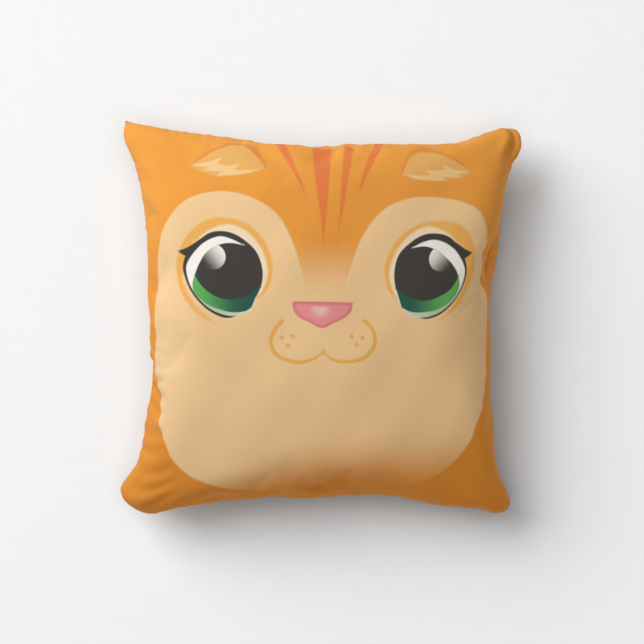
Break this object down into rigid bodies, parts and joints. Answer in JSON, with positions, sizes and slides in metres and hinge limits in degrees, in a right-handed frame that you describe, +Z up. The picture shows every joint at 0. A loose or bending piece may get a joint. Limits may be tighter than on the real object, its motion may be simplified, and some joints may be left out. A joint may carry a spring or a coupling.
{
  "type": "throw cushion",
  "caption": "Square throw cushion with a printed cat face, a zipped cover and a stuffed insert.",
  "frame": {"origin": "on the floor below the middle of the cushion, which lies on its back with the printed face up", "axes": "+X across the face to the viewer's right, +Y up the face towards the ears, +Z up out of the printed face"},
  "size_m": [0.398, 0.39, 0.112],
  "materials": {
    "printed_cloth": "matte",
    "plain_cloth": "matte",
    "seam_thread": "matte",
    "zip_tape": "matte",
    "zip_teeth": "satin",
    "zip_metal": "satin",
    "insert_casing": "matte",
    "insert_thread": "matte",
    "fibre": "matte"
  },
  "bodies": {
    "cushion": {"front_panel": "printed_cloth", "back_panel": "plain_cloth", "overlock_edging": "seam_thread", "seam_stitches": "seam_thread", "closed_end_stitches": "seam_thread", "zip_tape_front": "zip_tape", "zip_tape_back": "zip_tape", "zip_teeth_front": "zip_teeth", "zip_teeth_back": "zip_teeth", "zip_top_stops": "zip_metal", "zip_bottom_stop": "zip_metal", "zip_stitches_front": "seam_thread", "zip_stitches_back": "seam_thread", "zip_end_tacks": "seam_thread", "insert_front": "insert_casing", "insert_back": "insert_casing", "insert_seam_stitches": "insert_thread", "insert_closing_stitches": "insert_thread", "fibre_fill": "fibre"},
    "slider": {"zip_slider": "zip_metal"},
    "pull": {"zip_pull": "zip_metal"}
  },
  "joints": [
    {"name": "zip_slide", "type": "slide", "parent": "cushion", "child": "slider", "axis": [-1, 0, 0], "range_m": [0, 0.228], "deforming": ["zip_teeth_front", "zip_teeth_back"]},
    {"name": "pull_swing", "type": "hinge", "parent": "slider", "child": "pull", "pos_m": [0.118, -0.17555, 0.05], "axis": [0, 0, 1], "range_deg": [0, 120]}
  ]
}
